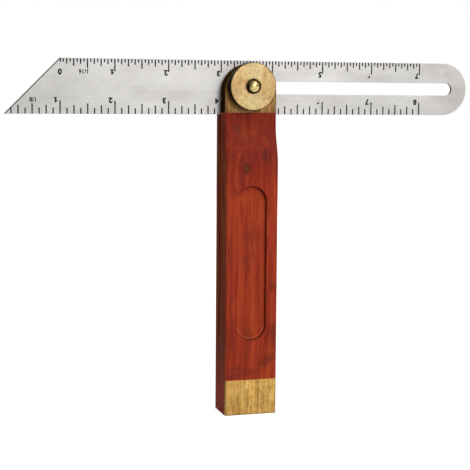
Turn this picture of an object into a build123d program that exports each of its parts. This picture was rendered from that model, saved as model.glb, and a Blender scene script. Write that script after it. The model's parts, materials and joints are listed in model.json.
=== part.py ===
from build123d import *
import os

# Sliding bevel: a slotted steel blade that turns and slides in the kerf of a wooden stock, and is
# clamped there by a thumb nut on a stud. The origin is the centre of the stock's foot, +Z runs up
# the stock, +X along the blade towards its rounded end, and the thumb nut is on the -Y side.
# All sizes are in millimetres.

# Stock: the wooden grip, and the outline that the brass cheeks continue at its head. The drops
# here and below are measured down from the pivot.
stock_width = 25.6
grip_thickness = 18.0
head_thickness = 14.0
pivot_height = 156.7
head_arc_drop = 2.2
ramp_top_drop = 17.5
ramp_bottom_drop = 37.0
long_edge_radius = 0.8

# Kerf: the saw cut that the blade folds into.
kerf_depth = 120.5
kerf_clearance = 0.10

# Finger recess in the front of the grip.
recess_length = 73.5
recess_width = 14.3
recess_depth = 1.6
recess_top_drop = 46.9
recess_edge_radius = 0.3

# Brass cheeks at the head, and the dowels that hold them on the wood.
cheek_drop = 12.3
dowel_diameter = 2.5
dowel_spacing = 16.0
dowel_in_brass = 5.5
dowel_in_wood = 9.0
dowel_end_gap = 0.3
glue_gap = 0.02

# Brass plates let into the front and back of the foot, and their pins.
plate_height = 17.0
plate_thickness = 1.0
pin_diameter = 1.6
pin_length = 6.0
pin_spacing = 14.0

# Blade: 9 inches of 1 inch steel strip, with a 45 degree point and a rounded end. Its slot is wider
# than the stud's flats, so the blade hangs a little below the pivot.
blade_length = 228.6
blade_width = 25.4
blade_thickness = 1.5
stud_from_tip = 114.35
slot_width = 6.1
slot_end_wall = 7.9
slot_contact_gap = 0.05

# Clamp stud: a slotted flat head in the back cheek, a shoulder that turns in that cheek, a neck with
# flats as wide as the thread, which runs in the blade's slot, and an M5 thread.
thread_diameter = 5.0
shoulder_diameter = 9.0
stud_head_diameter = 13.0
stud_head_thickness = 2.0
stud_head_recess = 0.2
driver_slot_width = 1.2
driver_slot_depth = 0.9
neck_length = 8.0
neck_end_gap = 0.15
stud_stick_out = 2.0
dome_height = 0.9
running_clearance = 0.05
head_clearance = 0.30

# Washer and thumb nut.
washer_diameter = 15.0
washer_thickness = 0.8
nut_diameter = 22.5
nut_thickness = 3.8
nut_pocket_diameter = 7.2
nut_pocket_depth = 1.2
nut_chamfer = 0.5
knurl_count = 72
knurl_depth = 0.25

# Places that follow from the sizes: y of the faces from back to front, and z up the stock.
back_y = grip_thickness / 2
grip_front_y = back_y - grip_thickness
head_front_y = back_y - head_thickness
kerf_mid_y = back_y - head_thickness / 2
kerf_width = blade_thickness + 2 * kerf_clearance
kerf_back_y = kerf_mid_y + kerf_width / 2
kerf_front_y = kerf_mid_y - kerf_width / 2
blade_back_y = kerf_mid_y + blade_thickness / 2
washer_front_y = head_front_y - washer_thickness
nut_front_y = washer_front_y - nut_thickness
stud_front_y = nut_front_y - stud_stick_out
joint_z = pivot_height - cheek_drop
kerf_bottom_z = pivot_height - kerf_depth
head_arc_z = pivot_height - head_arc_drop
head_top_z = head_arc_z + stock_width / 2
bore_diameter = thread_diameter + 2 * running_clearance
blade_sag = (slot_width - thread_diameter) / 2 - slot_contact_gap
neck_front_y = kerf_front_y + neck_end_gap


def facing_front(y):
    """A sketch plane at depth y whose normal points out of the front, with x right and z up."""
    return Plane.XZ.offset(-y)


def at_pivot(y, drop=0):
    """The same plane with its centre on the axis of the clamp stud, or a drop below it."""
    return Plane(origin=(0, y, pivot_height - drop), x_dir=(1, 0, 0), z_dir=(0, -1, 0))


os.makedirs("parts", exist_ok=True)

# Outline of the whole stock, wood and brass together, before it is cut into pieces.
with BuildPart() as outline:
    with BuildSketch(Plane.YZ):
        with BuildLine():
            Polyline(
                (head_front_y, pivot_height - ramp_top_drop),
                (head_front_y, head_top_z),
                (back_y, head_top_z),
                (back_y, 0),
                (grip_front_y, 0),
                (grip_front_y, pivot_height - ramp_bottom_drop),
            )
            Spline(
                (grip_front_y, pivot_height - ramp_bottom_drop),
                (head_front_y, pivot_height - ramp_top_drop),
                tangents=((0, 1), (0, 1)),
            )
        make_face()
    extrude(amount=stock_width / 2, both=True)
    with BuildSketch(Plane.XZ):
        with Locations((0, head_arc_z)):
            Circle(stock_width / 2)
        with Locations((0, head_arc_z / 2)):
            Rectangle(stock_width, head_arc_z)
    extrude(amount=grip_thickness, both=True, mode=Mode.INTERSECT)
    fillet(
        edges().filter_by(Axis.X, reverse=True).filter_by(Axis.Y, reverse=True),
        long_edge_radius,
    )

# Wooden stock, with the kerf, the finger recess, the plate pockets and the holes for the pins.
dowel_ys = [(back_y + kerf_back_y) / 2, (head_front_y + kerf_front_y) / 2]
plate_z = plate_height / 2
recess_z = pivot_height - recess_top_drop - recess_length / 2

with BuildPart() as stock:
    add(outline.part)
    with BuildSketch(Plane.XY.offset(joint_z)):
        Rectangle(2 * stock_width, 2 * grip_thickness)
    extrude(amount=stock_width, mode=Mode.SUBTRACT)
    with BuildSketch(Plane.XY.offset(kerf_bottom_z)):
        with Locations((0, kerf_mid_y)):
            Rectangle(2 * stock_width, kerf_width)
    extrude(amount=kerf_depth, mode=Mode.SUBTRACT)
    with BuildSketch(facing_front(grip_front_y)):
        with Locations((0, recess_z)):
            SlotOverall(recess_length, recess_width, rotation=90)
    extrude(amount=-recess_depth, mode=Mode.SUBTRACT)
    fillet(edges(Select.LAST).group_by(Axis.Y)[0], recess_edge_radius)
    with BuildSketch(Plane.XY):
        with Locations((0, grip_front_y), (0, back_y)):
            Rectangle(2 * stock_width, 2 * plate_thickness)
    extrude(amount=plate_height, mode=Mode.SUBTRACT)
    with BuildSketch(facing_front(grip_front_y)):
        with Locations((0, plate_z)):
            with GridLocations(pin_spacing, 0, 2, 1):
                Circle(pin_diameter / 2 + glue_gap)
    extrude(amount=-pin_length - dowel_end_gap, mode=Mode.SUBTRACT)
    with BuildSketch(facing_front(back_y)):
        with Locations((0, plate_z)):
            with GridLocations(pin_spacing, 0, 2, 1):
                Circle(pin_diameter / 2 + glue_gap)
    extrude(amount=pin_length + dowel_end_gap, mode=Mode.SUBTRACT)
    with BuildSketch(Plane.XY.offset(joint_z)):
        for dowel_y in dowel_ys:
            with Locations((-dowel_spacing / 2, dowel_y), (dowel_spacing / 2, dowel_y)):
                Circle(dowel_diameter / 2 + glue_gap)
    extrude(amount=-dowel_in_wood - dowel_end_gap, mode=Mode.SUBTRACT)
stock.part.label = "stock"
export_step(stock.part, "parts/stock.step")

# Front cheek: solid brass, flush with the wood below it, with a clearance hole for the thread.
with BuildPart() as front_cheek:
    add(outline.part)
    with BuildSketch(Plane.XY):
        Rectangle(2 * stock_width, 2 * grip_thickness)
    extrude(amount=joint_z, mode=Mode.SUBTRACT)
    with BuildSketch(facing_front(kerf_front_y)):
        Rectangle(2 * stock_width, 4 * pivot_height)
    extrude(amount=-grip_thickness, mode=Mode.SUBTRACT)
    with BuildSketch(at_pivot(kerf_front_y)):
        Circle(bore_diameter / 2)
    extrude(amount=head_thickness, mode=Mode.SUBTRACT)
    with BuildSketch(Plane.XY.offset(joint_z)):
        with Locations((-dowel_spacing / 2, dowel_ys[1]), (dowel_spacing / 2, dowel_ys[1])):
            Circle(dowel_diameter / 2 + glue_gap)
    extrude(amount=dowel_in_brass + dowel_end_gap, mode=Mode.SUBTRACT)
front_cheek.part.label = "front_cheek"
export_step(front_cheek.part, "parts/front_cheek.step")

# Back cheek: the same outline, bored for the stud's shoulder and counterbored for its head.
stud_head_front_y = back_y - stud_head_recess - stud_head_thickness

with BuildPart() as back_cheek:
    add(outline.part)
    with BuildSketch(Plane.XY):
        Rectangle(2 * stock_width, 2 * grip_thickness)
    extrude(amount=joint_z, mode=Mode.SUBTRACT)
    with BuildSketch(facing_front(kerf_back_y)):
        Rectangle(2 * stock_width, 4 * pivot_height)
    extrude(amount=grip_thickness, mode=Mode.SUBTRACT)
    with BuildSketch(at_pivot(back_y)):
        Circle(shoulder_diameter / 2 + running_clearance)
    extrude(amount=head_thickness, mode=Mode.SUBTRACT)
    with BuildSketch(at_pivot(back_y)):
        Circle(stud_head_diameter / 2 + head_clearance)
    extrude(amount=back_y - stud_head_front_y, mode=Mode.SUBTRACT)
    with BuildSketch(Plane.XY.offset(joint_z)):
        with Locations((-dowel_spacing / 2, dowel_ys[0]), (dowel_spacing / 2, dowel_ys[0])):
            Circle(dowel_diameter / 2 + glue_gap)
    extrude(amount=dowel_in_brass + dowel_end_gap, mode=Mode.SUBTRACT)
back_cheek.part.label = "back_cheek"
export_step(back_cheek.part, "parts/back_cheek.step")

# Dowels: two in each cheek, half in the brass and half in the wood.
with BuildPart() as cheek_dowels:
    with BuildSketch(Plane.XY.offset(joint_z - dowel_in_wood)):
        for dowel_y in dowel_ys:
            with Locations((-dowel_spacing / 2, dowel_y), (dowel_spacing / 2, dowel_y)):
                Circle(dowel_diameter / 2)
    extrude(amount=dowel_in_wood + dowel_in_brass)
cheek_dowels.part.label = "cheek_dowels"
export_step(cheek_dowels.part, "parts/cheek_dowels.step")

# Foot plates: thin brass let in flush, front and back, following the stock's rounded long edges.
with BuildPart() as front_foot_plate:
    add(outline.part)
    with BuildSketch(Plane.XY):
        with Locations((0, grip_front_y)):
            Rectangle(2 * stock_width, 2 * plate_thickness)
    extrude(amount=plate_height, mode=Mode.INTERSECT)
    with BuildSketch(facing_front(grip_front_y)):
        with Locations((0, plate_z)):
            with GridLocations(pin_spacing, 0, 2, 1):
                Circle(pin_diameter / 2 + glue_gap)
    extrude(amount=-plate_thickness, mode=Mode.SUBTRACT)
front_foot_plate.part.label = "front_foot_plate"
export_step(front_foot_plate.part, "parts/front_foot_plate.step")

with BuildPart() as back_foot_plate:
    add(outline.part)
    with BuildSketch(Plane.XY):
        with Locations((0, back_y)):
            Rectangle(2 * stock_width, 2 * plate_thickness)
    extrude(amount=plate_height, mode=Mode.INTERSECT)
    with BuildSketch(facing_front(back_y)):
        with Locations((0, plate_z)):
            with GridLocations(pin_spacing, 0, 2, 1):
                Circle(pin_diameter / 2 + glue_gap)
    extrude(amount=plate_thickness, mode=Mode.SUBTRACT)
back_foot_plate.part.label = "back_foot_plate"
export_step(back_foot_plate.part, "parts/back_foot_plate.step")

# Pins of the foot plates: two through each plate into the wood, filed flush with the brass.
with BuildPart() as foot_plate_pins:
    with BuildSketch(facing_front(grip_front_y)):
        with Locations((0, plate_z)):
            with GridLocations(pin_spacing, 0, 2, 1):
                Circle(pin_diameter / 2)
    extrude(amount=-pin_length)
    with BuildSketch(facing_front(back_y)):
        with Locations((0, plate_z)):
            with GridLocations(pin_spacing, 0, 2, 1):
                Circle(pin_diameter / 2)
    extrude(amount=pin_length)
foot_plate_pins.part.label = "foot_plate_pins"
export_step(foot_plate_pins.part, "parts/foot_plate_pins.step")

# Blade: pointed at the left, where its lower edge is the longer one, and rounded at the right.
blade_left_x = -stud_from_tip
blade_right_x = blade_left_x + blade_length
slot_left_x = -neck_length / 2 - blade_sag - 2 * slot_contact_gap
slot_right_x = blade_right_x - slot_end_wall
slot_length = slot_right_x - slot_left_x

with BuildPart() as blade:
    with BuildSketch(at_pivot(blade_back_y, blade_sag)):
        with BuildLine():
            Polyline(
                (blade_right_x - blade_width / 2, -blade_width / 2),
                (blade_left_x, -blade_width / 2),
                (blade_left_x + blade_width, blade_width / 2),
                (blade_right_x - blade_width / 2, blade_width / 2),
            )
            ThreePointArc(
                (blade_right_x - blade_width / 2, blade_width / 2),
                (blade_right_x, 0),
                (blade_right_x - blade_width / 2, -blade_width / 2),
            )
        make_face()
        with Locations(((slot_left_x + slot_right_x) / 2, 0)):
            SlotOverall(slot_length, slot_width, mode=Mode.SUBTRACT)
    extrude(amount=blade_thickness)
blade.part.label = "blade"
export_step(blade.part, "parts/blade.step")

# Clamp stud, from its slotted head in the back cheek to its domed end in front of the nut.
with BuildPart() as clamp_stud:
    with BuildSketch(at_pivot(back_y - stud_head_recess)):
        Circle(stud_head_diameter / 2)
    extrude(amount=stud_head_thickness)
    with BuildSketch(at_pivot(stud_head_front_y)):
        Circle(shoulder_diameter / 2)
    extrude(amount=stud_head_front_y - kerf_back_y)
    with BuildSketch(at_pivot(kerf_back_y)):
        SlotOverall(neck_length, thread_diameter)
    extrude(amount=kerf_back_y - neck_front_y)
    with BuildSketch(at_pivot(neck_front_y)):
        Circle(thread_diameter / 2)
    extrude(amount=neck_front_y - stud_front_y - dome_height)
    with BuildSketch(Plane.YZ):
        with BuildLine():
            dome_base_y = stud_front_y + dome_height
            dome_rim_z = pivot_height + thread_diameter / 2
            Line((stud_front_y, pivot_height), (dome_base_y, pivot_height))
            Line((dome_base_y, pivot_height), (dome_base_y, dome_rim_z))
            RadiusArc(
                (dome_base_y, dome_rim_z),
                (stud_front_y, pivot_height),
                -((thread_diameter / 2) ** 2 + dome_height**2) / (2 * dome_height),
            )
        make_face()
    revolve(axis=Axis((0, 0, pivot_height), (0, 1, 0)))
    with BuildSketch(at_pivot(back_y)):
        Rectangle(2 * stud_head_diameter, driver_slot_width)
    extrude(amount=stud_head_recess + driver_slot_depth, mode=Mode.SUBTRACT)
clamp_stud.part.label = "clamp_stud"
export_step(clamp_stud.part, "parts/clamp_stud.step")

# Washer between the front cheek and the nut.
with BuildPart() as washer:
    with BuildSketch(at_pivot(head_front_y)):
        Circle(washer_diameter / 2)
        Circle(bore_diameter / 2, mode=Mode.SUBTRACT)
    extrude(amount=washer_thickness)
washer.part.label = "washer"
export_step(washer.part, "parts/washer.step")

# Thumb nut: a knurled disc with a pocket round the end of the stud.
with BuildPart() as thumb_nut:
    with BuildSketch(at_pivot(washer_front_y)):
        Circle(nut_diameter / 2)
    extrude(amount=nut_thickness)
    chamfer(edges().filter_by(GeomType.CIRCLE), nut_chamfer)
    with BuildSketch(at_pivot(washer_front_y)):
        Circle(bore_diameter / 2)
    extrude(amount=nut_thickness, mode=Mode.SUBTRACT)
    with BuildSketch(at_pivot(nut_front_y)):
        Circle(nut_pocket_diameter / 2)
    extrude(amount=-nut_pocket_depth, mode=Mode.SUBTRACT)
    with BuildSketch(at_pivot(washer_front_y)):
        with PolarLocations(nut_diameter / 2, knurl_count):
            Rectangle(2 * knurl_depth, 2 * knurl_depth, rotation=45)
    extrude(amount=nut_thickness, mode=Mode.SUBTRACT)
thumb_nut.part.label = "thumb_nut"
export_step(thumb_nut.part, "parts/thumb_nut.step")
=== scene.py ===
"""Sliding bevel, standing on its foot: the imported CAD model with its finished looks.

Lengths are in metres and the axes are the CAD's: +Z up the stock, +X along the blade towards its
rounded end, and -Y out of the front, where the thumb nut is.
"""

import json
import math

import bmesh
import bpy
from mathutils import Matrix, Vector


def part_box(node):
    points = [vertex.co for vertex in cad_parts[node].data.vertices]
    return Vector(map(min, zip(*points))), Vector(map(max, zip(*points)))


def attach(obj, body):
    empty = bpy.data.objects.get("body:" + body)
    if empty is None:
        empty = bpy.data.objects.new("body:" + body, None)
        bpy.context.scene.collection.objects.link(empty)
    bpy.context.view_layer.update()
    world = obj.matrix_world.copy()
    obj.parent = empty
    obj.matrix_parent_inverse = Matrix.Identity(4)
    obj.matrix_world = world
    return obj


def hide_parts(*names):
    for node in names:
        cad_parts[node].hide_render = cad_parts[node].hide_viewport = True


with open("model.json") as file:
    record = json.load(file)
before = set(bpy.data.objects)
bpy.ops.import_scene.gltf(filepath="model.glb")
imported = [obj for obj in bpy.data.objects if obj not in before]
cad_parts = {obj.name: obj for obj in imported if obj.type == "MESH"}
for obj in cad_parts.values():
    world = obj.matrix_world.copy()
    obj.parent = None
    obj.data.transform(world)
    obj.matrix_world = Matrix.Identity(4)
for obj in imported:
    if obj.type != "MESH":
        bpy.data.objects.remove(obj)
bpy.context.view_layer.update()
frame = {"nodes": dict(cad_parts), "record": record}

MM = 0.001
INCH = 25.4 * MM

# ---------------------------------------------------------------- places, all taken from the frame

joints = {j["name"]: j for j in frame["record"]["behaviour"]["joints"]}
PIVOT = Vector(joints["blade_swing"]["pos_m"])
STOCK_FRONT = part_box("stock")[0].y
PLATE_HALF_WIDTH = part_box("front_foot_plate")[1].x
nut_low, nut_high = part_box("thumb_nut")
blade_low, blade_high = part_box("blade")
BLADE_WIDTH = blade_high.z - blade_low.z
BLADE_THICKNESS = blade_high.y - blade_low.y
BLADE_MID = (blade_low + blade_high) / 2
BLADE_FRONT = blade_low.y


# ---------------------------------------------------------------------------------- material tools


class Nodes:
    """Short calls that add nodes to an emptied node tree."""

    def __init__(self, tree):
        self.tree = tree
        tree.nodes.clear()

    def feed(self, socket, value):
        if isinstance(value, bpy.types.NodeSocket):
            self.tree.links.new(value, socket)
        else:
            socket.default_value = value

    def node(self, kind, inputs, **settings):
        made = self.tree.nodes.new(kind)
        for key, value in settings.items():
            setattr(made, key, value)
        for key, value in inputs.items():
            self.feed(made.inputs[key], value)
        return made

    def math(self, operation, a, b=0.0):
        return self.node("ShaderNodeMath", {0: a, 1: b}, operation=operation).outputs[0]

    def vector_math(self, operation, a, b=(0, 0, 0)):
        made = self.node("ShaderNodeVectorMath", {0: a, 1: b}, operation=operation)
        return made.outputs["Value" if operation in ("LENGTH", "DOT_PRODUCT") else "Vector"]

    def split(self, vector):
        return self.node("ShaderNodeSeparateXYZ", {0: vector}).outputs

    def join(self, x, y, z):
        return self.node("ShaderNodeCombineXYZ", {0: x, 1: y, 2: z}).outputs[0]

    def span(self, factor, low, high, to_low, to_high, curve="SMOOTHSTEP"):
        """to_low below low, to_high above high. low may be the greater of the two."""
        return self.node(
            "ShaderNodeMapRange",
            {
                "Value": factor,
                "From Min": low,
                "From Max": high,
                "To Min": to_low,
                "To Max": to_high,
            },
            interpolation_type=curve,
        ).outputs["Result"]

    def between(self, factor, low, high):
        """0 below low, 1 above high."""
        return self.span(factor, low, high, 0.0, 1.0)

    def by_ray(self, ray, chosen, otherwise):
        """One shader for a kind of ray, and another one for the rest."""
        is_ray = self.node("ShaderNodeLightPath", {}).outputs[ray]
        return self.node("ShaderNodeMixShader", {0: is_ray, 1: otherwise, 2: chosen}).outputs[0]


class Shading(Nodes):
    """A node material with one Principled shader."""

    def __init__(self, name, **constants):
        self.material = bpy.data.materials.new(name)
        self.material.use_nodes = True
        super().__init__(self.material.node_tree)
        self.shader = self.node("ShaderNodeBsdfPrincipled", {})
        self.node("ShaderNodeOutputMaterial", {"Surface": self.shader.outputs[0]})
        for socket, value in constants.items():
            self.shader.inputs[socket.replace("_", " ")].default_value = value

    def position(self, scale=(1, 1, 1), centre=(0, 0, 0)):
        """The point in the shared frame, in millimetres from centre, stretched by scale."""
        where = self.node("ShaderNodeTexCoord", {}).outputs["Object"]
        moved = self.vector_math("SUBTRACT", where, centre)
        return self.vector_math("MULTIPLY", moved, tuple(s / MM for s in scale))

    def normal(self):
        return self.split(self.node("ShaderNodeTexCoord", {}).outputs["Normal"])

    def turned_away(self, least, most):
        """0 where the surface looks along Y, 1 where it looks sideways."""
        return self.span(self.math("ABSOLUTE", self.normal()[1]), least, most, 1.0, 0.0)

    def noise(self, vector, scale=1.0, detail=3.0, roughness=0.55, distortion=0.0):
        return self.node(
            "ShaderNodeTexNoise",
            {
                "Vector": vector,
                "Scale": scale,
                "Detail": detail,
                "Roughness": roughness,
                "Distortion": distortion,
            },
        ).outputs["Fac"]

    def ramp(self, factor, *stops):
        """Grey or colour stops, each (position, value)."""
        made = self.node("ShaderNodeValToRGB", {"Fac": factor})
        elements = made.color_ramp.elements
        while len(elements) < len(stops):
            elements.new(1.0)
        for element, (place, value) in zip(elements, stops):
            element.position = place
            colour = value if isinstance(value, tuple) else (value, value, value)
            element.color = (*colour, 1.0)
        return made.outputs["Color"]

    def mix(self, factor, a, b, blend="MIX"):
        made = self.node("ShaderNodeMix", {}, data_type="RGBA", blend_type=blend)
        for index, value in ((0, factor), (6, a), (7, b)):
            if isinstance(value, tuple):
                value = (*value, 1.0)
            self.feed(made.inputs[index], value)
        return made.outputs[2]

    def cover(self, base, colour, mask, strength=1.0):
        """base with colour laid over it where mask is 1."""
        return self.mix(self.math("MULTIPLY", mask, strength), base, colour)

    def shade(self, base, by, mask=1.0):
        """base multiplied by a colour or a ramp where mask is 1."""
        return self.mix(mask, base, by, "MULTIPLY")

    def colour(self, value):
        self.feed(self.shader.inputs["Base Color"], value)

    def roughness(self, factor, low, high):
        self.feed(self.shader.inputs["Roughness"], self.span(factor, 0.0, 1.0, low, high, "LINEAR"))

    def bump(self, height, distance, strength=1.0):
        made = self.node(
            "ShaderNodeBump", {"Height": height, "Distance": distance, "Strength": strength}
        )
        self.feed(self.shader.inputs["Normal"], made.outputs["Normal"])


# -------------------------------------------------------------------------------------- the wood

# Colours of the grain from its dark bands to its pale ones, and of what lies over it.
WOOD_BANDS = (
    (0.28, (0.290, 0.025, 0.013)),
    (0.42, (0.380, 0.037, 0.016)),
    (0.55, (0.470, 0.054, 0.019)),
    (0.72, (0.560, 0.078, 0.023)),
)
WARM_CLOUD = (0.540, 0.078, 0.022)
DULL_CLOUD = (0.240, 0.036, 0.018)
PORE_COLOUR = (0.100, 0.014, 0.010)
KNOT_RING = (0.095, 0.022, 0.013)
KNOT_HEART = (0.105, 0.036, 0.020)
SMUDGE_COLOUR = (0.100, 0.022, 0.016)
# Painted shade round the recess's rim, and a painted highlight inside its lower end.
RECESS_RIM_SHADE = (0.085, 0.012, 0.008)
RECESS_WALL_HIGHLIGHT = (0.68, 0.17, 0.09)
# Tones that multiply the wood's colour.
HEAD_TONE = (0.58, 0.45, 0.60)
# Painted light on the stock's left side, and more of it near the foot.
LEFT_SIDE_PAINTED_LIGHT = (1.26, 2.0, 1.80)
FOOT_PAINTED_LIGHT = (1.6, 1.1, 0.9)
GLOW_TONE = (1.22, 1.32, 1.0)
FLOOR_TONE = (1.09, 1.18, 1.05)

KNOT = Vector((-2.8 * MM, STOCK_FRONT, PIVOT.z - 38.4 * MM))
KNOT_HALF_WIDTH = 1.35
KNOT_HALF_HEIGHT = 2.4

# The red turns dull between these drops from the pivot, in millimetres.
HEAD_DROP = 24
HEAD_TONE_END = 54

# The finger recess, as it is cut in the stock.
RECESS_WIDTH = 14.3 * MM
RECESS_LENGTH = 73.5 * MM
RECESS_TOP_DROP = 46.9 * MM
RECESS_MIDDLE = Vector((0, STOCK_FRONT, PIVOT.z - RECESS_TOP_DROP - RECESS_LENGTH / 2))

# Dark places on the front of the stock: x and drop from the pivot, half width, half height, lean in
# degrees and strength. The lengths are in millimetres.
SMUDGES = (
    (-8.0, 49.5, 1.2, 1.6, 0, 0.55),
    (-6.2, 19.5, 2.2, 2.8, 0, 0.45),
    (6.2, 32.0, 1.5, 4.0, 0, 0.50),
    (6.0, 16.0, 4.5, 3.0, 20, 0.25),
    (10.5, 95.0, 2.2, 2.6, 10, 0.45),
    (7.8, 130.5, 6.8, 2.6, 26, 0.45),
    (-8.0, 137.6, 5.5, 1.9, 6, 0.50),
    (11.5, 118.0, 2.0, 7.0, 0, 0.35),
    (-8.0, 135.0, 5.0, 3.0, 0, 0.30),
    (-1.0, 136.0, 6.0, 2.0, 8, 0.35),
    (-10.5, 78.0, 1.6, 9.0, 0, 0.35),
    (0.5, 70.5, 5.0, 4.5, 0, 0.28),
)
# Bright orange places, written the same way. The first, on the slope below the head, is a painted
# highlight where the slope faces up to the light.
GLOWS = (
    (4.5, 27.8, 5.5, 3.6, 0, 0.70),
    (9.6, 46.0, 2.6, 9.0, 0, 0.75),
    (-10.0, 57.0, 1.8, 7.0, 8, 0.70),
    (-10.2, 72.0, 1.8, 8.0, 0, 0.60),
    (8.0, 16.5, 2.2, 5.0, 0, 0.50),
    (-10.4, 23.0, 1.8, 6.0, 0, 0.60),
    (-3.5, 53.5, 3.6, 4.5, 0, 0.50),
)


def across_grain(s, x):
    """The coordinate across the grain, which wanders a little and parts round the knot."""
    wander = s.noise(s.position((0.05, 0.05, 0.018)), 1.0, 2.0)
    shift = s.math("MULTIPLY", s.math("SUBTRACT", wander, 0.5), 4.5)
    from_knot = s.position((1, 0.25, 0.55), KNOT)
    near_knot = s.math("SUBTRACT", 1.0, s.between(s.vector_math("LENGTH", from_knot), 0.6, 5.0))
    parting = s.math("MULTIPLY", s.math("MULTIPLY", s.split(from_knot)[0], near_knot), -0.75)
    return s.math("ADD", s.math("ADD", x, shift), parting)


def add_wood_tones(s, base, z, sides):
    """Clouds of warmer and duller red, a dull crimson head, and painted light on the left side:
    paler and browner, and redder near the foot.
    """
    cloud = s.noise(s.position((0.10, 0.10, 0.035)), 1.0, 3.0, 0.6)
    base = s.cover(base, WARM_CLOUD, s.between(cloud, 0.52, 0.72))
    base = s.cover(base, DULL_CLOUD, s.between(cloud, 0.47, 0.30), 0.65)
    pivot_z = PIVOT.z / MM
    head = s.between(z, pivot_z - HEAD_TONE_END, pivot_z - HEAD_DROP)
    head = s.math("MULTIPLY", head, 0.95)
    head = s.math("MULTIPLY", head, s.math("SUBTRACT", 1.0, sides))
    base = s.shade(base, HEAD_TONE, head)
    # Painted light: the side facing left is painted paler and browner, and redder towards the foot.
    painted_left_light = s.between(s.normal()[0], -0.3, -0.8)
    base = s.shade(base, LEFT_SIDE_PAINTED_LIGHT, painted_left_light)
    return s.shade(base, FOOT_PAINTED_LIGHT, s.math("MULTIPLY", painted_left_light, s.between(z, 32.0, 4.0)))


def add_knot(s, base, lines):
    """A dark eye with a slightly darker ring round it."""
    eye = s.position((1 / KNOT_HALF_WIDTH, 0.12, 1 / KNOT_HALF_HEIGHT), KNOT)
    distance = s.math("ADD", s.vector_math("LENGTH", eye), s.math("MULTIPLY", lines, 0.35))
    ring = s.math("MULTIPLY", s.between(distance, 0.55, 0.95), s.between(distance, 1.75, 1.1))
    base = s.cover(base, KNOT_RING, ring, 0.75)
    return s.cover(base, KNOT_HEART, s.between(distance, 1.05, 0.55), 0.75)


def patches(s, places, ragged):
    """A mask of the oval places in a list, with ragged edges."""
    mask = 0.0
    for place_x, drop, half_width, half_height, lean, strength in places:
        centre = Vector((place_x * MM, STOCK_FRONT, PIVOT.z - drop * MM))
        turned = s.node(
            "ShaderNodeVectorRotate",
            {"Vector": s.position((1, 0.12, 1), centre), "Angle": math.radians(lean)},
            rotation_type="Y_AXIS",
        ).outputs[0]
        shape = s.vector_math("MULTIPLY", turned, (1 / half_width, 1, 1 / half_height))
        reach = s.math("ADD", s.vector_math("LENGTH", shape), s.math("MULTIPLY", ragged, 0.9))
        patch = s.math("MULTIPLY", s.between(reach, 1.75, 0.75), strength)
        mask = s.math("MAXIMUM", mask, patch)
    return mask


def add_recess_wear(s, base, y, sides):
    """Painted shade round the recess's rim, a painted highlight inside its lower end where the wall
    faces up, and a paler floor.
    """
    front = STOCK_FRONT / MM
    x, _, z = s.split(s.position((1, 0, 1), RECESS_MIDDLE))
    straight = (RECESS_LENGTH - RECESS_WIDTH) / 2 / MM
    beyond = s.math("MAXIMUM", s.math("SUBTRACT", s.math("ABSOLUTE", z), straight), 0.0)
    outward = s.vector_math("LENGTH", s.join(x, 0.0, beyond))
    outward = s.math("SUBTRACT", outward, RECESS_WIDTH / 2 / MM)
    near_front = s.between(y, front + 2.2, front + 1.8)

    # Painted shade: a dark line round the rim, on the front and the walls.
    line = s.between(s.math("ABSOLUTE", s.math("SUBTRACT", outward, 0.1)), 0.50, 0.20)
    base = s.cover(base, RECESS_RIM_SHADE, s.math("MULTIPLY", line, near_front), 0.45)
    # Painted highlight: a light line inside the lower end, where the wall faces up to the light.
    lit_wall = s.between(s.math("ABSOLUTE", s.math("ADD", outward, 0.62)), 0.42, 0.15)
    lower_end = s.between(z, -straight + 1.0, -straight - 1.5)
    lit_wall = s.math("MULTIPLY", s.math("MULTIPLY", lit_wall, lower_end), near_front)
    base = s.cover(base, RECESS_WALL_HIGHLIGHT, lit_wall, 0.38)
    floor = s.math(
        "MULTIPLY", s.between(y, front + 0.9, front + 1.5), s.math("SUBTRACT", 1.0, sides)
    )
    return s.shade(base, FLOOR_TONE, floor)


def wood_material():
    s = Shading("red_wood", Metallic=0.0, IOR=1.45, Specular_IOR_Level=0.10)
    x, y, z = s.split(s.position())
    sides = s.turned_away(0.3, 0.8)

    # The grain runs along Z, so its patterns are stretched that way.
    across = across_grain(s, x)
    grain = s.join(across, y, s.math("MULTIPLY", z, 0.035))
    bands = s.noise(grain, 0.42, 4.0, 0.6, 0.6)
    lines = s.noise(grain, 2.3, 5.0, 0.68, 0.3)
    fibres = s.noise(s.join(across, y, s.math("MULTIPLY", z, 0.16)), 5.5, 3.0, 0.7)
    pores = s.noise(s.join(across, y, s.math("MULTIPLY", z, 0.12)), 3.6, 2.0, 0.5)
    pore = s.between(pores, 0.655, 0.74)

    base = s.ramp(bands, *WOOD_BANDS)
    base = add_wood_tones(s, base, z, sides)
    base = s.shade(base, s.ramp(lines, (0.25, 0.55), (0.5, 1.0), (0.75, 1.22)), 0.85)
    base = s.shade(base, s.ramp(fibres, (0.25, 0.80), (0.5, 1.0), (0.75, 1.15)), 0.9)
    base = s.cover(base, PORE_COLOUR, pore, 0.7)
    base = add_knot(s, base, lines)
    ragged = s.noise(s.position((0.5, 0.5, 0.22)), 1.0, 3.0)
    base = s.shade(base, GLOW_TONE, patches(s, GLOWS, ragged))
    base = s.cover(base, SMUDGE_COLOUR, patches(s, SMUDGES, ragged))
    base = add_recess_wear(s, base, y, sides)

    s.colour(base)
    s.roughness(lines, 0.50, 0.66)
    height = s.math("SUBTRACT", s.math("MULTIPLY", fibres, 0.6), s.math("MULTIPLY", pore, 0.9))
    s.bump(height, 0.06 * MM, 0.55)
    return s.material


# ------------------------------------------------------------------------------------- the metals

# The share of a pattern's scale that is left along the brushing, which draws it out into lines.
BRUSHED = 0.03
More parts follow.
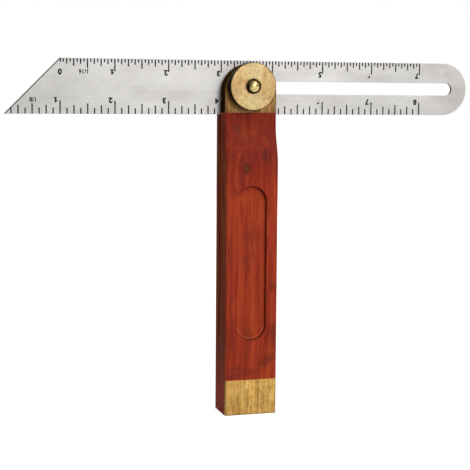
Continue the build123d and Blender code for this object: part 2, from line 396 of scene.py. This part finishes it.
# Tarnish as a share of the dull colour, and painted shade for the sides that face away from the
# front: their near-black colour and the tint of their reflections.
TARNISH = (0.42, 0.34, 0.28)
PAINTED_SIDE_COLOUR = (0.050, 0.035, 0.019)
PAINTED_SIDE_GLINT = (0.46, 0.34, 0.20)


def brushed_brass(
    name, tint, dull, lines=0.5, stains=0.35, scratch=0.5, painted_side_shade=0.0, dark_rim_half_width=0.0
):
    """Brass brushed along Z, with tarnish in clouds and deeper single scratches, and painted shade
    that can turn the sides near-black.

    lines is the contrast of the brushing. The last argument is half the width of a plate, in
    millimetres, which is darker along its sides and its lower edge.
    """
    s = Shading(name, Metallic=1.0)
    hairs = s.noise(s.position((1.5, 1.5, 1.5 * BRUSHED)), 1.5, 4.0, 0.75)
    streaks = s.noise(s.position((0.8, 0.8, 0.8 * 2 * BRUSHED)), 1.0, 4.0, 0.65, 0.3)
    clouds = s.noise(s.position((0.28, 0.28, 0.28)), 1.0, 5.0, 0.6, 0.4)
    grit = s.noise(s.position((0.95, 0.95, 0.80)), 1.0, 3.0, 0.7)
    spots = s.noise(s.position((0.9, 0.9, 0.35)), 1.0, 4.0, 0.6)
    tarnish = tuple(c * share for c, share in zip(dull, TARNISH))

    base = s.cover(dull, tint, s.between(clouds, 0.35, 0.68))
    low = 1 - 0.75 * lines
    high = 1 + 0.35 * lines
    for pattern in (streaks, hairs):
        contrast = s.ramp(
            pattern, (0.30, (low, low * 0.90, low * 0.78)), (0.5, 1.0), (0.70, high)
        )
        base = s.shade(base, contrast, 0.9)
    base = s.shade(base, s.ramp(grit, (0.32, 0.76), (0.5, 1.0), (0.68, 1.16)), 0.8)
    base = s.cover(base, tarnish, s.between(spots, 0.60, 0.72), stains)
    # The plate is darker along its sides and its lower edge.
    if dark_rim_half_width:
        x, _, z = s.split(s.position())
        rim = s.between(s.math("ABSOLUTE", x), dark_rim_half_width - 0.9, dark_rim_half_width - 0.2)
        rim = s.math("MAXIMUM", rim, s.between(z, 0.8, 0.2))
        base = s.cover(base, tarnish, rim, 0.6)
    shine = hairs
    # Painted shade: where the sides face away from the front, the brass is painted near-black, with
    # browner and rougher reflections.
    if painted_side_shade:
        side = s.math("MULTIPLY", s.turned_away(0.35, 0.92), painted_side_shade)
        base = s.mix(side, base, PAINTED_SIDE_COLOUR)
        glint = s.mix(side, (1.0, 1.0, 1.0), PAINTED_SIDE_GLINT)
        s.feed(s.shader.inputs["Specular Tint"], glint)
        shine = s.math("ADD", hairs, s.math("MULTIPLY", side, 3.0))
    s.colour(base)
    s.roughness(shine, 0.28, 0.46)
    deep = s.math("MULTIPLY", s.between(streaks, 0.40, 0.28), scratch)
    s.bump(s.math("SUBTRACT", hairs, deep), 0.02 * MM, 0.5)
    return s.material


NUT_CLOUDS = ((0.34, (0.38, 0.235, 0.090)), (0.5, (0.48, 0.325, 0.14)), (0.66, (0.55, 0.41, 0.20)))
# Painted reflection on the turned face: warmer at the sides, paler above and below.
NUT_SIDE_REFLECTION = (0.335, 0.215, 0.095)
NUT_PALE_REFLECTION = (0.68, 0.55, 0.28)
NUT_SPECK = (0.25, 0.13, 0.05)
# Painted shade for the knurling and the pocket round the stud.
NUT_SHADE_COLOUR = (0.035, 0.018, 0.007)
POCKET_RADIUS = 3.6 * MM


def turned_brass():
    """The nut: a lathe-turned face, its fine rings centred on the stud, with handling marks."""
    s = Shading("turned_brass", Metallic=1.0, Anisotropic=0.3)
    from_axis = s.position((1, 0, 1), PIVOT)
    radius = s.vector_math("LENGTH", from_axis)
    ring_place = s.join(radius, 0.0, 0.0)
    rings = s.noise(ring_place, 9.0, 3.0, 0.7)
    broad_rings = s.noise(ring_place, 1.6, 2.0, 0.5)
    clouds = s.noise(s.position((0.20, 0.20, 0.20), PIVOT), 1.0, 4.0, 0.6, 0.5)
    mottle = s.noise(s.position((0.75, 0.75, 0.60), PIVOT), 1.0, 5.0, 0.7, 0.6)
    specks = s.noise(s.position((1.6, 1.6, 1.6)), 1.0, 3.0, 0.5)

    base = s.ramp(clouds, *NUT_CLOUDS)
    base = s.shade(base, s.ramp(mottle, (0.34, 0.42), (0.5, 1.0), (0.66, 1.34)), 0.9)
    # Painted reflection of the turned face: paler above and below the stud and warmer at the two
    # sides, as the rings catch the light.
    height = s.math("ABSOLUTE", s.split(from_axis)[2])
    upright = s.math("DIVIDE", height, s.math("ADD", radius, 0.01))
    base = s.cover(base, NUT_SIDE_REFLECTION, s.between(upright, 0.75, 0.2), 0.65)
    base = s.cover(base, NUT_PALE_REFLECTION, s.between(upright, 0.6, 1.0), 0.5)
    base = s.shade(base, s.ramp(rings, (0.3, 0.80), (0.5, 1.0), (0.7, 1.14)), 0.8)
    base = s.shade(base, s.ramp(broad_rings, (0.3, 0.84), (0.7, 1.10)), 0.8)
    base = s.cover(base, NUT_SPECK, s.between(specks, 0.66, 0.74), 0.45)
    # Painted shade: the knurled rim and the pocket round the stud are painted near-black.
    pocket = POCKET_RADIUS / MM
    in_pocket = s.between(radius, pocket + 0.12, pocket - 0.10)
    base = s.cover(base, NUT_SHADE_COLOUR, s.math("MAXIMUM", s.turned_away(0.75, 0.99), in_pocket), 0.94)

    s.colour(base)
    s.roughness(rings, 0.34, 0.5)
    s.bump(s.math("ADD", rings, broad_rings), 0.018 * MM, 0.6)
    tangent = s.node("ShaderNodeTangent", {}, direction_type="RADIAL", axis="Y")
    s.feed(s.shader.inputs["Tangent"], tangent.outputs[0])
    return s.material


def polished_brass():
    """The stud's end: brighter and yellower than the nut, with a few handling marks."""
    s = Shading("polished_brass", Metallic=1.0)
    marks = s.noise(s.position((1.2, 1.2, 1.2)), 1.0, 5.0, 0.7)
    base = s.ramp(marks, (0.35, (0.46, 0.34, 0.12)), (0.6, (0.74, 0.61, 0.27)))
    # Painted shade: the stud's sides are painted near-black.
    s.colour(s.cover(base, (0.05, 0.03, 0.01), s.turned_away(0.2, 0.8), 0.9))
    s.roughness(marks, 0.26, 0.42)
    s.bump(marks, 0.05 * MM, 0.4)
    return s.material


STEEL_CLOUDS = ((0.30, (0.45, 0.44, 0.43)), (0.55, (0.52, 0.51, 0.50)), (0.75, (0.56, 0.55, 0.54)))
STEEL_EDGE = (0.07, 0.067, 0.064)
STEEL_STAIN = (0.46, 0.38, 0.36)
DULL_END = (0.93, 0.92, 0.92)


def satin_steel():
    """The blade: fine satin along its length, with faint smears, a duller round end, dark edges."""
    s = Shading("satin_steel", Metallic=1.0)
    x, _, z = s.split(s.position())
    hairs = s.noise(s.position((0.05, 2.4, 2.4)), 1.6, 4.0, 0.75)
    streaks = s.noise(s.position((0.03, 0.5, 0.5)), 1.0, 4.0, 0.6)
    clouds = s.noise(s.position((0.05, 0.05, 0.09)), 1.0, 3.0, 0.5)
    base = s.ramp(clouds, *STEEL_CLOUDS)
    base = s.shade(base, s.ramp(hairs, (0.3, 0.93), (0.5, 1.0), (0.7, 1.05)), 0.8)
    base = s.shade(base, s.ramp(streaks, (0.3, 0.95), (0.7, 1.04)), 0.8)
    stain_centre = Vector((blade_high.x - 10.5 * MM, BLADE_FRONT, BLADE_MID.z + 7.5 * MM))
    stain = s.vector_math("LENGTH", s.position((0.30, 0.1, 0.42), stain_centre))
    stain = s.math("ADD", stain, s.math("MULTIPLY", s.noise(s.position((0.4, 0.4, 0.4))), 0.8))
    base = s.cover(base, STEEL_STAIN, s.between(stain, 1.35, 0.5), 0.4)
    base = s.shade(base, DULL_END, s.between(x, 80.0, 118.0))
    # A dark line runs along the slope of the point, on its front.
    slope = s.math("SUBTRACT", s.math("SUBTRACT", x, z), (blade_low.x - blade_low.z) / MM)
    slope_line = s.math("MULTIPLY", s.between(slope, 0.95, 0.45), 0.8)
    edges = s.math("MAXIMUM", slope_line, s.math("MULTIPLY", s.turned_away(0.3, 0.9), 0.85))
    s.colour(s.mix(edges, base, STEEL_EDGE))
    s.roughness(hairs, 0.42, 0.54)
    s.bump(hairs, 0.008 * MM, 0.5)
    return s.material


def black_fill():
    """The filling of the graduations: matt black, a little worn."""
    s = Shading("black_fill", Metallic=0.0, Specular_IOR_Level=0.15)
    worn = s.noise(s.position((2.5, 2.5, 2.5)), 1.0, 4.0, 0.7)
    s.colour(s.ramp(worn, (0.35, (0.006, 0.006, 0.007)), (0.75, (0.025, 0.024, 0.023))))
    s.roughness(worn, 0.45, 0.7)
    return s.material


# ----------------------------------------------------------------------------------- mesh tools

# Sketches are drawn in a flat plane and stood up so that they face the front.
STAND_UP = Matrix.Rotation(math.radians(90), 4, "X")


def link(name, data):
    """A new object of some data, in the scene."""
    thing = bpy.data.objects.new(name, data)
    bpy.context.scene.collection.objects.link(thing)
    return thing


def new_piece(name, mesh, material, body, smooth_angle=None):
    piece = link(name, mesh)
    mesh.materials.clear()
    mesh.materials.append(material)
    if smooth_angle is not None:
        mesh.shade_smooth()
        mesh.set_sharp_from_angle(angle=math.radians(smooth_angle))
    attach(piece, body)
    return piece


def mesh_of_work(work, name):
    mesh = bpy.data.meshes.new(name)
    work.to_mesh(mesh)
    work.free()
    return mesh


def mesh_of_curve(data, name):
    """The closed mesh of a curve or text, as it stands."""
    carrier = link(name + "_curve", data)
    bpy.context.view_layer.update()
    evaluated = carrier.evaluated_get(bpy.context.evaluated_depsgraph_get())
    mesh = bpy.data.meshes.new_from_object(evaluated)
    bpy.data.objects.remove(carrier)
    mesh.name = name
    work = bmesh.new()
    work.from_mesh(mesh)
    bmesh.ops.remove_doubles(work, verts=work.verts, dist=1e-7)
    bmesh.ops.recalc_face_normals(work, faces=work.faces)
    work.to_mesh(mesh)
    work.free()
    return mesh


def filled_curve(name, outlines, half_depth):
    """Closed outlines filled in the plane z = 0 and raised by half_depth on both sides of it."""
    data = bpy.data.curves.new(name, "CURVE")
    data.dimensions = "2D"
    data.fill_mode = "BOTH"
    data.extrude = half_depth
    for outline in outlines:
        spline = data.splines.new("POLY")
        spline.points.add(len(outline) - 1)
        for point, (x, y) in zip(spline.points, outline):
            point.co = (x, y, 0, 1)
        spline.use_cyclic_u = True
    return data


# -------------------------------------------------------------------------------------- the blade

EDGE_BREAK = 0.12 * MM
EDGE_SEGMENTS = 2
HALF_CIRCLE_STEPS = 64
# The slot, as it is cut in the blade.
SLOT_WIDTH = 6.1 * MM
SLOT_LEFT = -4.6 * MM
SLOT_END_WALL = 7.9 * MM


def half_circle(centre_x, radius, start, sweep, steps):
    """Points round a centre on the blade's middle line; start and sweep are in degrees."""
    angles = [math.radians(start + sweep * k / steps) for k in range(steps + 1)]
    return [
        (centre_x + radius * math.cos(angle), BLADE_MID.z + radius * math.sin(angle))
        for angle in angles
    ]


def blade_outline():
    """The blade's outer edge, seen from the front: point, top edge, round end, bottom edge."""
    radius = BLADE_WIDTH / 2
    slope = [(blade_low.x, blade_low.z), (blade_low.x + BLADE_WIDTH, blade_high.z)]
    return slope + half_circle(blade_high.x - radius, radius, 90, -180, HALF_CIRCLE_STEPS)


def slot_outline():
    radius = SLOT_WIDTH / 2
    right = blade_high.x - SLOT_END_WALL - radius
    left = SLOT_LEFT + radius
    steps = HALF_CIRCLE_STEPS // 2
    return half_circle(right, radius, -90, 180, steps) + half_circle(left, radius, 90, 180, steps)


def make_blade(material):
    outlines = (blade_outline(), slot_outline())
    data = filled_curve("blade_strip", outlines, BLADE_THICKNESS / 2 - EDGE_BREAK)
    data.bevel_depth = EDGE_BREAK
    data.bevel_resolution = EDGE_SEGMENTS
    data.offset = -EDGE_BREAK
    mesh = mesh_of_curve(data, "blade_strip")
    mesh.transform(Matrix.Translation((0, BLADE_MID.y, 0)) @ STAND_UP)
    piece = new_piece("blade_strip", mesh, material, "blade", 12)
    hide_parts("blade")


# ------------------------------------------------------------------------------ the graduations

# How far the marks stand out of the blade and reach into it.
MARK_DEPTH = 0.05 * MM
TICK_WIDTH = 0.60 * MM
TIP_X = blade_low.x
# Tick lengths for the whole, half, quarter and eighth of an inch on the lower scale, and with the
# sixteenth on the upper one.
LOWER_LENGTHS = (6.0 * MM, 4.7 * MM, 3.9 * MM, 2.7 * MM)
UPPER_LENGTHS = (5.7 * MM, 4.3 * MM, 3.4 * MM, 2.5 * MM, 1.6 * MM)
LOWER_INCHES = 8
UPPER_INCHES = 7

# Heights of the figures and of the scale labels, and their stroke weights as shares of the height.
FIGURE = 2.4 * MM
LABEL = 1.9 * MM
FIGURE_WEIGHT = 0.075
LABEL_WEIGHT = 0.045
# The height of the built-in font's figures at size 1.
FONT_HEIGHT = 0.7
# Drops are from the blade's edges to the middles of the figures, gaps from the ticks leftwards.
LOWER_FIGURE_DROP = 6.4 * MM
UPPER_FIGURE_DROP = 6.1 * MM
LOWER_FIGURE_GAP = 2.1 * MM
UPPER_FIGURE_GAP = 1.35 * MM
LABEL_RAISE = 0.2 * MM
LOWER_LABEL_FROM_TIP = 13.2 * MM
UPPER_LABEL_FROM_TIP = 36.4 * MM


def tick_rank(count, per_inch):
    """0 for a whole inch, 1 for a half, and so on."""
    rank = 0
    step = per_inch
    while count % step:
        step //= 2
        rank += 1
    return rank


def add_box(work, low, high):
    corners = [
        work.verts.new((x, y, z))
        for x in (low[0], high[0])
        for y in (low[1], high[1])
        for z in (low[2], high[2])
    ]
    for face in ((0, 1, 3, 2), (4, 6, 7, 5), (0, 4, 5, 1), (2, 3, 7, 6), (0, 2, 6, 4), (1, 5, 7, 3)):
        work.faces.new([corners[k] for k in face])


def add_tick(work, x, length, edge, inward):
    bottom, top = sorted((edge, edge + inward * length))
    half = TICK_WIDTH / 2
    low = (x - half, BLADE_FRONT - MARK_DEPTH, bottom)
    add_box(work, low, (x + half, BLADE_FRONT + MARK_DEPTH, top))


def make_graduations(material):
    work = bmesh.new()
    lower_edge = blade_low.z + EDGE_BREAK
    upper_edge = blade_high.z - EDGE_BREAK
    # The lower scale is in eighths and starts at the tip, where it has no tick.
    for count in range(1, LOWER_INCHES * 8 + 1):
        add_tick(work, TIP_X + count * INCH / 8, LOWER_LENGTHS[tick_rank(count, 8)], lower_edge, 1)
    # The upper one is in sixteenths and starts where the slope ends, with a short tick beside it.
    add_tick(work, TIP_X + INCH + TICK_WIDTH / 2, UPPER_LENGTHS[-1], upper_edge, -1)
    for count in range(1, UPPER_INCHES * 16 + 1):
        x = TIP_X + INCH + count * INCH / 16
        add_tick(work, x, UPPER_LENGTHS[tick_rank(count, 16)], upper_edge, -1)
    bmesh.ops.recalc_face_normals(work, faces=work.faces)
    mesh = mesh_of_work(work, "blade_graduations")
    new_piece("blade_graduations", mesh, material, "blade")


def text_mesh(text, height, weight):
    """Figures in the plane z = 0, centred on the origin. weight thickens their strokes."""
    data = bpy.data.curves.new("numeral", "FONT")
    data.body = text
    data.size = height / FONT_HEIGHT
    data.align_x = "CENTER"
    data.align_y = "CENTER"
    data.extrude = MARK_DEPTH
    data.offset = weight * height
    return mesh_of_curve(data, "numeral")


def one_mesh(height):
    """The figure 1 with a flag and a foot, which the built-in font hasn't got."""
    stem = 0.29 * height
    foot = 0.21 * height
    flag = 0.33 * height
    half = height / 2
    outline = (
        (-flag, -half),
        (flag, -half),
        (flag, foot - half),
        (stem / 2, foot - half),
        (stem / 2, half),
        (-stem / 3, half),
        (-flag, half - flag),
        (-flag, half - flag - foot),
        (-stem / 2, half - flag - foot / 3),
        (-stem / 2, foot - half),
        (-flag, foot - half),
    )
    return mesh_of_curve(filled_curve("one", (outline,), MARK_DEPTH), "one")


def make_numerals(material):
    """The figures read upside down, as they are stamped on this blade."""
    work = bmesh.new()
    upside_down = Matrix.Rotation(math.radians(180), 4, "Y")
    lower_z = blade_low.z + LOWER_FIGURE_DROP
    upper_z = blade_high.z - UPPER_FIGURE_DROP

    def add_mark(mesh, x, z):
        mesh.transform(Matrix.Translation((x, BLADE_FRONT, z)) @ upside_down @ STAND_UP)
        work.from_mesh(mesh)
        bpy.data.meshes.remove(mesh)

    def add_figure(inch, x, z):
        mesh = one_mesh(FIGURE) if inch == 1 else text_mesh(str(inch), FIGURE, FIGURE_WEIGHT)
        add_mark(mesh, x, z)

    for inch in range(1, LOWER_INCHES + 1):
        add_figure(inch, TIP_X + inch * INCH - LOWER_FIGURE_GAP, lower_z)
    # The upper 0 stands by the slope, so it keeps no gap.
    add_figure(0, TIP_X + INCH, upper_z)
    for inch in range(1, UPPER_INCHES + 1):
        add_figure(inch, TIP_X + (inch + 1) * INCH - UPPER_FIGURE_GAP, upper_z)
    for label, from_tip, z in (
        ("1/8", LOWER_LABEL_FROM_TIP, lower_z),
        ("1/16", UPPER_LABEL_FROM_TIP, upper_z),
    ):
        add_mark(text_mesh(label, LABEL, LABEL_WEIGHT), TIP_X + from_tip, z + LABEL_RAISE)
    mesh = mesh_of_work(work, "blade_numerals")
    new_piece("blade_numerals", mesh, material, "blade")


# ---------------------------------------------------------------------------------- the thumb nut

NUT_BORE = 2.55 * MM
POCKET_DEPTH = 1.2 * MM
CHAMFER = 0.5 * MM
# The back chamfer stops this far inside the rim, and the knurling begins a land beyond it.
CHAMFER_STEP = 0.05 * MM
LAND = 0.15 * MM
# Rounded rims of the front face: how far each point lies inside the nut's radius or outside the
# pocket's, and how far behind the face, in millimetres.
OUTER_RIM = ((0.02, 0.50), (0.10, 0.26), (0.25, 0.10), (0.43, 0.0))
POCKET_RIM = ((0.22, 0.0), (0.06, 0.05), (0.0, 0.22))

KNURL_TEETH = 84
# The depth of the knurling at the steps through one tooth.
TOOTH = (-0.30 * MM, -0.08 * MM, 0.0, -0.08 * MM)


def nut_profile():
    """Points (radius, y) round the nut's section, and which two of them are on the knurled rim."""
    back, front = nut_high.y, nut_low.y
    outer = (nut_high.z - nut_low.z) / 2
    profile = [
        (NUT_BORE, back),
        (outer - CHAMFER, back),
        (outer - CHAMFER_STEP, back - CHAMFER),
        (outer, back - CHAMFER - LAND),
        (outer, front + CHAMFER + LAND),
    ]
    knurled = (3, 4)
    profile += [(outer - inside * MM, front + behind * MM) for inside, behind in OUTER_RIM]
    profile += [(POCKET_RADIUS + out * MM, front + behind * MM) for out, behind in POCKET_RIM]
    profile += [(POCKET_RADIUS, front + POCKET_DEPTH), (NUT_BORE, front + POCKET_DEPTH)]
    return profile, knurled


def make_thumb_nut(material):
    """The section turned about the stud's axis, with the teeth of the knurling cut in its rim."""
    profile, knurled = nut_profile()
    steps = KNURL_TEETH * len(TOOTH)
    work = bmesh.new()
    rings = []
    for k in range(steps):
        angle = 2 * math.pi * k / steps
        ring = []
        for index, (radius, y) in enumerate(profile):
            if index in knurled:
                radius += TOOTH[k % len(TOOTH)]
            x = PIVOT.x + radius * math.cos(angle)
            ring.append(work.verts.new((x, y, PIVOT.z + radius * math.sin(angle))))
        rings.append(ring)
    for k, ring in enumerate(rings):
        after = rings[(k + 1) % steps]
        for index in range(len(profile)):
            following = (index + 1) % len(profile)
            work.faces.new((ring[index], ring[following], after[following], after[index]))
    bmesh.ops.recalc_face_normals(work, faces=work.faces)
    mesh = mesh_of_work(work, "thumb_nut_turned")
    piece = new_piece("thumb_nut_turned", mesh, material, "thumb_nut", 11)
    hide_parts("thumb_nut")


# ------------------------------------------------------------------------------ camera and lights

CAMERA_PLACE = Vector((-171.0 * MM, BLADE_FRONT - 573.1 * MM, BLADE_MID.z - 4.6 * MM))
# Degrees: turned to the right, looking down, and rolled.
CAMERA_PAN = 16.117
CAMERA_DIP = 6.29
CAMERA_ROLL = 0.415
LENS_MM = 95.72
SENSOR_MM = 36.0

# Name, place, size, power in watts and colour of each light.
LIGHTS = (
    ("key", (0.26, -1.05, 0.56), (0.30, 0.30), 4.6, (1.0, 0.99, 0.97)),
    ("high_fill", (0.50, -0.60, 0.80), (0.5, 0.5), 2.5, (1, 1, 1)),
    ("back_panel", (0.75, 0.85, 0.45), (0.9, 0.7), 5.0, (1, 1, 1)),
)
LIGHTS_AIM = Vector((0, 0, PIVOT.z * 0.6))

# The studio's brightness towards and away from its bright side, and as the camera sees it.
BRIGHT_WAY = Vector((0.80, -0.35, 0.48))
BRIGHT_SIDE = 0.50
DARK_SIDE = 0.04
BACKDROP = 1.0

# The floor's brightness to the camera and in reflections, and its own grey.
FLOOR_HALF_SIZE = 6.0
FLOOR_GLOW = 0.90
FLOOR_SHEEN = 0.85
FLOOR_GREY = (0.45, 0.45, 0.45, 1)
FLOOR_BRIGHT_WAY = (0.9, -0.4, 0)


def make_camera():
    """The camera stands left of the tool at the height of its pivot, and looks down a little."""
    data = bpy.data.cameras.new("camera")
    data.lens = LENS_MM
    data.sensor_width = SENSOR_MM
    data.clip_start = 0.01
    camera = link("camera", data)
    camera.matrix_world = (
        Matrix.Translation(CAMERA_PLACE)
        @ Matrix.Rotation(math.radians(-CAMERA_PAN), 4, "Z")
        @ Matrix.Rotation(math.radians(90 - CAMERA_DIP), 4, "X")
        @ Matrix.Rotation(math.radians(CAMERA_ROLL), 4, "Z")
    )
    bpy.context.scene.camera = camera


def make_lights():
    for name, place, size, power, colour in LIGHTS:
        data = bpy.data.lights.new(name, "AREA")
        data.shape = "RECTANGLE"
        data.size, data.size_y = size
        data.energy = power
        data.color = colour
        light = link(name, data)
        light.location = place
        light.rotation_euler = (LIGHTS_AIM - Vector(place)).to_track_quat("-Z", "Y").to_euler()


def make_world():
    """A studio that is bright to the right, in front and above, and dark to the left."""
    world = bpy.data.worlds.new("studio")
    bpy.context.scene.world = world
    world.use_nodes = True
    n = Nodes(world.node_tree)
    way = n.node("ShaderNodeTexCoord", {}).outputs["Generated"]
    towards = n.vector_math("DOT_PRODUCT", way, BRIGHT_WAY.normalized())
    level = n.span(towards, -0.45, 0.75, DARK_SIDE, BRIGHT_SIDE)
    around = n.node("ShaderNodeBackground", {"Strength": level}).outputs[0]
    seen = n.node("ShaderNodeBackground", {"Color": (1, 1, 1, 1), "Strength": BACKDROP}).outputs[0]
    n.node("ShaderNodeOutputWorld", {"Surface": n.by_ray("Is Camera Ray", seen, around)})


def make_floor():
    """A plain white sweep that shows only the faintest contact shadow."""
    mesh = bpy.data.meshes.new("floor")
    half = FLOOR_HALF_SIZE
    mesh.from_pydata(
        [(-half, -half, 0), (half, -half, 0), (half, half, 0), (-half, half, 0)],
        [],
        [(0, 1, 2, 3)],
    )
    floor = link("floor", mesh)
    material = bpy.data.materials.new("floor")
    material.use_nodes = True
    n = Nodes(material.node_tree)
    matt = n.node("ShaderNodeBsdfDiffuse", {"Color": FLOOR_GREY}).outputs[0]
    # Reflections see the floor lit in front and to the right of the tool only.
    where = n.node("ShaderNodeTexCoord", {}).outputs["Object"]
    along = n.vector_math("DOT_PRODUCT", where, FLOOR_BRIGHT_WAY)
    sheen = n.span(along, -0.15, 0.08, 0.0, FLOOR_SHEEN)
    surface = matt
    for ray, strength in (("Is Glossy Ray", sheen), ("Is Camera Ray", FLOOR_GLOW)):
        light = n.node("ShaderNodeEmission", {"Strength": strength}).outputs[0]
        lit = n.node("ShaderNodeAddShader", {0: light, 1: matt}).outputs[0]
        surface = n.by_ray(ray, lit, surface)
    n.node("ShaderNodeOutputMaterial", {"Surface": surface})
    mesh.materials.append(material)


# ------------------------------------------------------------------------------------- the scene


def dress(node, material):
    """A CAD node keeps its shape and gets a finished material."""
    thing = frame["nodes"][node]
    thing.data.materials.clear()
    thing.data.materials.append(material)


make_camera()
make_world()
make_lights()
make_floor()

wood = wood_material()
# The cheeks' sides are painted near-black: painted shade.
cheek_brass = brushed_brass(
    "cheek_brass", (0.30, 0.16, 0.057), (0.19, 0.098, 0.031), lines=1.0, stains=0.6, painted_side_shade=0.93
)
plate_brass = brushed_brass(
    "plate_brass",
    (0.69, 0.43, 0.13),
    (0.56, 0.32, 0.085),
    lines=0.62,
    stains=0.5,
    scratch=0.9,
    dark_rim_half_width=PLATE_HALF_WIDTH / MM,
)
pin_brass = brushed_brass("pin_brass", (0.62, 0.38, 0.12), (0.48, 0.28, 0.08))
washer_brass = brushed_brass("washer_brass", (0.52, 0.34, 0.15), (0.40, 0.25, 0.10))
nut_brass = turned_brass()
stud_brass = polished_brass()
steel = satin_steel()
black = black_fill()

dress("stock", wood)
dress("front_cheek", cheek_brass)
dress("back_cheek", cheek_brass)
dress("front_foot_plate", plate_brass)
dress("back_foot_plate", plate_brass)
dress("foot_plate_pins", pin_brass)
dress("cheek_dowels", pin_brass)
dress("washer", washer_brass)
dress("clamp_stud", stud_brass)
make_blade(steel)
make_graduations(black)
make_numerals(black)
make_thumb_nut(nut_brass)

bpy.context.scene.view_settings.view_transform = "Standard"
